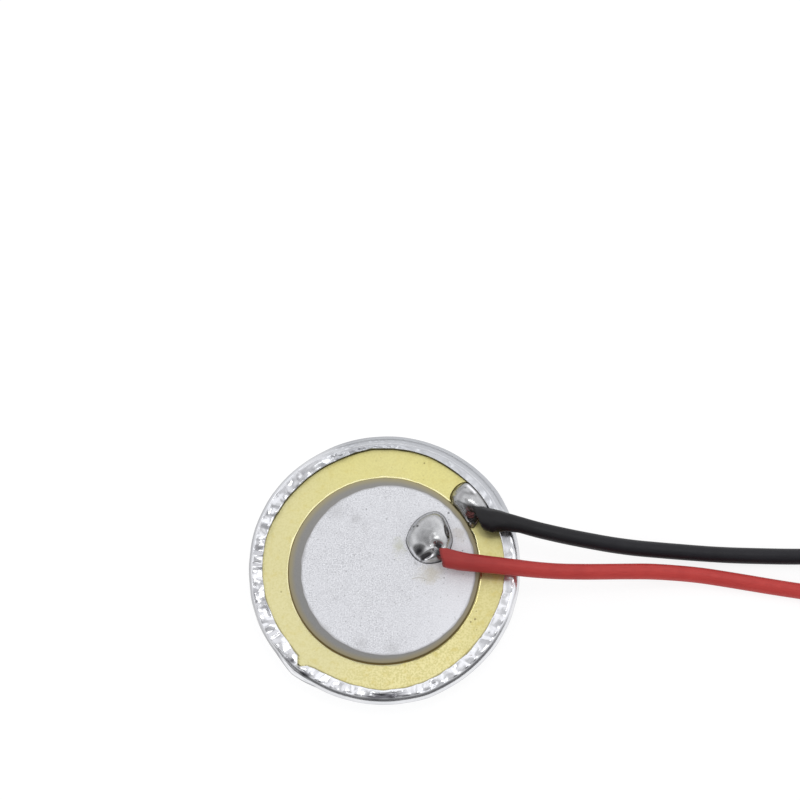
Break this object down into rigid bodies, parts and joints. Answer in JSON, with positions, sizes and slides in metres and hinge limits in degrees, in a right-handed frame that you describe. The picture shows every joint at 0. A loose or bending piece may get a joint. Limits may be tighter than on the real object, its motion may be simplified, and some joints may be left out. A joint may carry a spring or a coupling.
{
  "type": "piezo disc with sound cap and leads",
  "caption": "Piezo sounder or pickup disc: ceramic on brass, crimped in an aluminium cap with a sound hole, red and black leads soldered on.",
  "frame": {"origin": "on the axis of the disc, at the flat end of the sound cap, which the part rests on", "axes": "+Z along the disc's axis, from the sound hole towards the ceramic; +X towards the leads"},
  "size_m": [0.0647, 0.0243, 0.0044],
  "materials": {
    "cap_aluminium": "bright rolled sheet, satin flats, mirror-like bends, crimping wrinkles",
    "disc_brass": "pale rolled brass, fine grain",
    "adhesive": "thin amber epoxy film",
    "electrode_silver": "matte printed silver, fine grain",
    "piezo_ceramic": "bare grey fired ceramic",
    "solder": "bright solder with flux residue",
    "conductor": "stranded copper, part tinned",
    "conductor_tinned": "tinned stranded copper",
    "red_insulation": "soft satin PVC",
    "black_insulation": "soft satin PVC",
    "tie": "thin plastic band"
  },
  "bodies": {
    "root": {"sound_cap": "cap_aluminium", "brass_disc": "disc_brass", "adhesive_film": "adhesive", "lower_electrode": "electrode_silver", "ceramic_disc": "piezo_ceramic", "upper_electrode": "electrode_silver", "red_solder_joint": "solder", "black_solder_joint": "solder", "red_strands": "conductor", "black_strands": "conductor", "red_lead": "red_insulation", "black_lead": "black_insulation", "red_coil": "red_insulation", "black_coil": "black_insulation", "red_tinned_tip": "conductor_tinned", "black_tinned_tip": "conductor_tinned", "lead_tie": "tie"}
  },
  "joints": []
}
